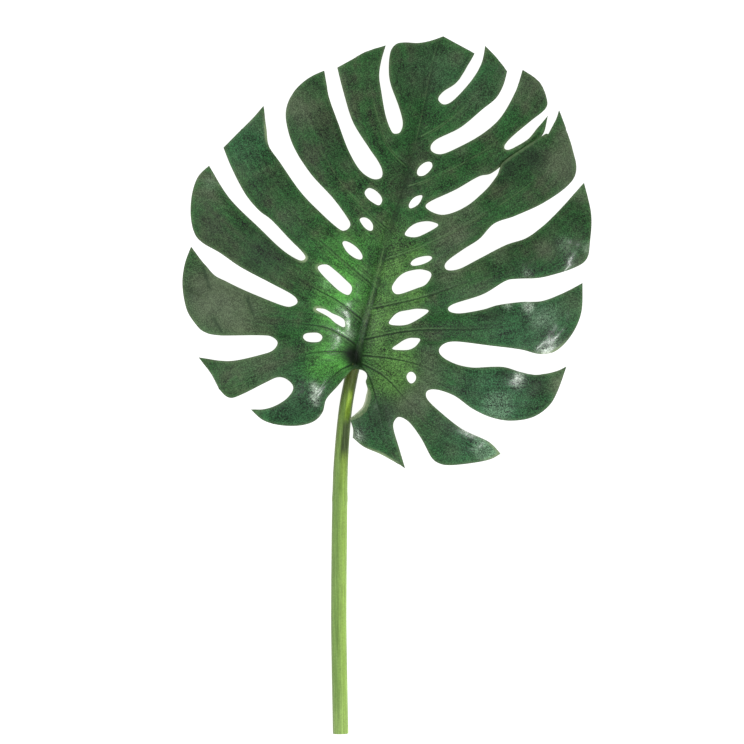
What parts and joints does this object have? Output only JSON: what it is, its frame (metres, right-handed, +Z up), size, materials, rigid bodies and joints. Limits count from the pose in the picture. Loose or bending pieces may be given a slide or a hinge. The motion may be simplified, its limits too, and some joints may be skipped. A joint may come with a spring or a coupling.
{
  "type": "monstera leaf",
  "caption": "Large heart-shaped split leaf with deep slits and oval holes beside the midrib, on a long round cut stalk, lying face up",
  "frame": {"origin": "middle of the leaf's bounding box on the surface it lies on", "axes": "+Z up from the surface, the leaf's upper face looking up; +Y from the cut end of the stalk to the leaf's tip; +X to the right seen from above"},
  "size_m": [0.4098, 0.6976, 0.0472],
  "materials": {
    "leaf_skin": "waxy half-gloss dark green leaf skin, paler underneath",
    "stalk_skin": "smooth half-gloss light green, olive towards the blade"
  },
  "bodies": {
    "root": {"leaf_blade": "leaf_skin", "leaf_stalk": "stalk_skin"}
  },
  "joints": []
}
